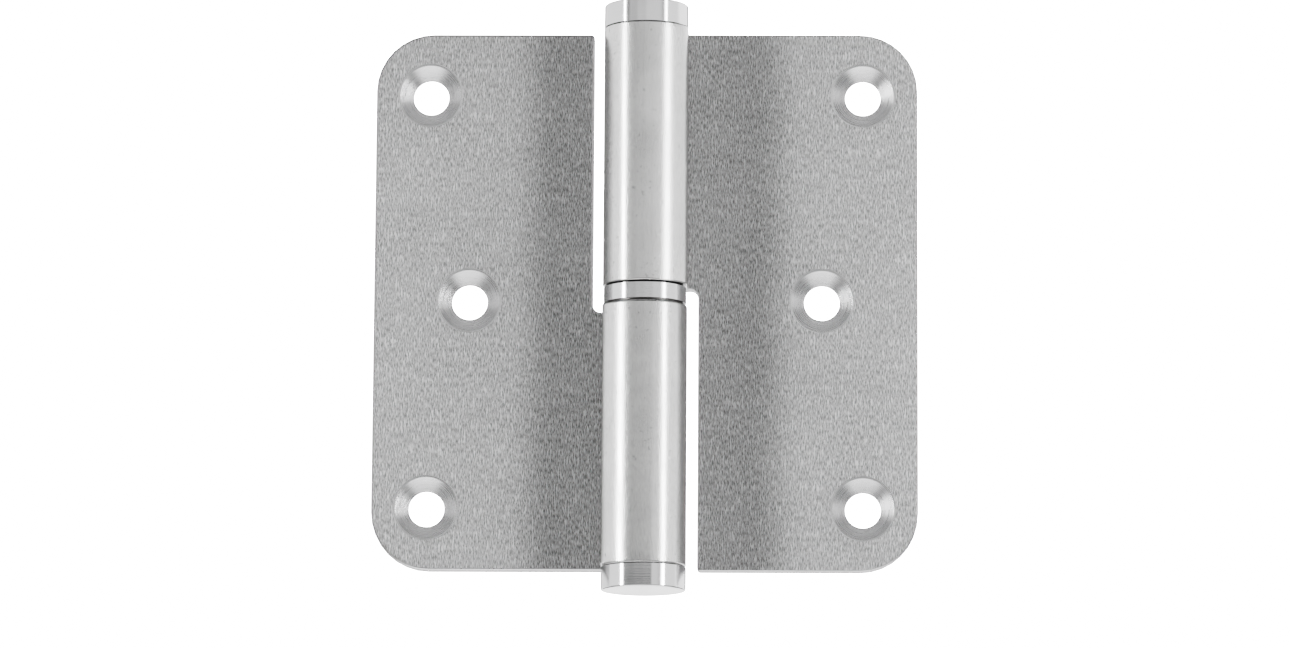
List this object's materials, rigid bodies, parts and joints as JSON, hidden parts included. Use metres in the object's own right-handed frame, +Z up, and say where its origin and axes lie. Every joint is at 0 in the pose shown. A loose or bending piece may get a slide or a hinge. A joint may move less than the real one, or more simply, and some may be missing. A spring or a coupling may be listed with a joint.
{
  "type": "lift-off door hinge",
  "caption": "Lift-off door hinge opened flat: countersunk, round-cornered steel leaves rolled round a fixed pin, a ball bearing ring between the knuckles and turned end caps.",
  "frame": {"origin": "on the pin's axis, halfway up the leaves, which is the middle of the bounding box", "axes": "+Z up the pin, towards the leaf that lifts off; +Y out of the leaves' backs, into the frame and the door; +X along the door leaf, opened flat"},
  "size_m": [0.089, 0.0138, 0.0966],
  "materials": {
    "leaf_steel": "brushed along the pin on the leaves, satin on the knuckles",
    "ring_steel": "fine ground",
    "cap_steel": "turned and polished",
    "pin_steel": "ground, with a light film of oil",
    "race_steel": "turned",
    "ball_steel": "polished",
    "cage_brass": "stamped",
    "bush_nylon": "moulded, satin"
  },
  "bodies": {
    "frame_side": {"frame_leaf": "leaf_steel", "hinge_pin": "pin_steel", "bottom_cap": "cap_steel", "lower_race": "race_steel", "bearing_case": "ring_steel"},
    "turning_race": {"upper_race": "race_steel"},
    "door_side": {"door_leaf": "leaf_steel", "top_cap": "cap_steel", "lower_bush": "bush_nylon", "upper_bush": "bush_nylon"},
    "ball_set": {"ball_cage": "cage_brass", "ball_01": "ball_steel", "ball_02": "ball_steel", "ball_03": "ball_steel", "ball_04": "ball_steel", "ball_05": "ball_steel", "ball_06": "ball_steel", "ball_07": "ball_steel", "ball_08": "ball_steel", "ball_09": "ball_steel", "ball_10": "ball_steel", "ball_11": "ball_steel", "ball_12": "ball_steel"}
  },
  "joints": [
    {"name": "swing", "type": "hinge", "parent": "frame_side", "child": "turning_race", "pos_m": [0, 0, 0], "axis": [0, 0, 1], "range_deg": [-180, 100]},
    {"name": "lift_off", "type": "slide", "parent": "turning_race", "child": "door_side", "axis": [0, 0, 1], "range_m": [0, 0.04]},
    {"name": "cage_turn", "type": "hinge", "parent": "frame_side", "child": "ball_set", "pos_m": [0, 0, 0], "axis": [0, 0, 1], "range_deg": [-90, 50]}
  ],
  "couplings": [
    {"joint": "cage_turn", "follows": "swing", "ratio": 0.5}
  ]
}
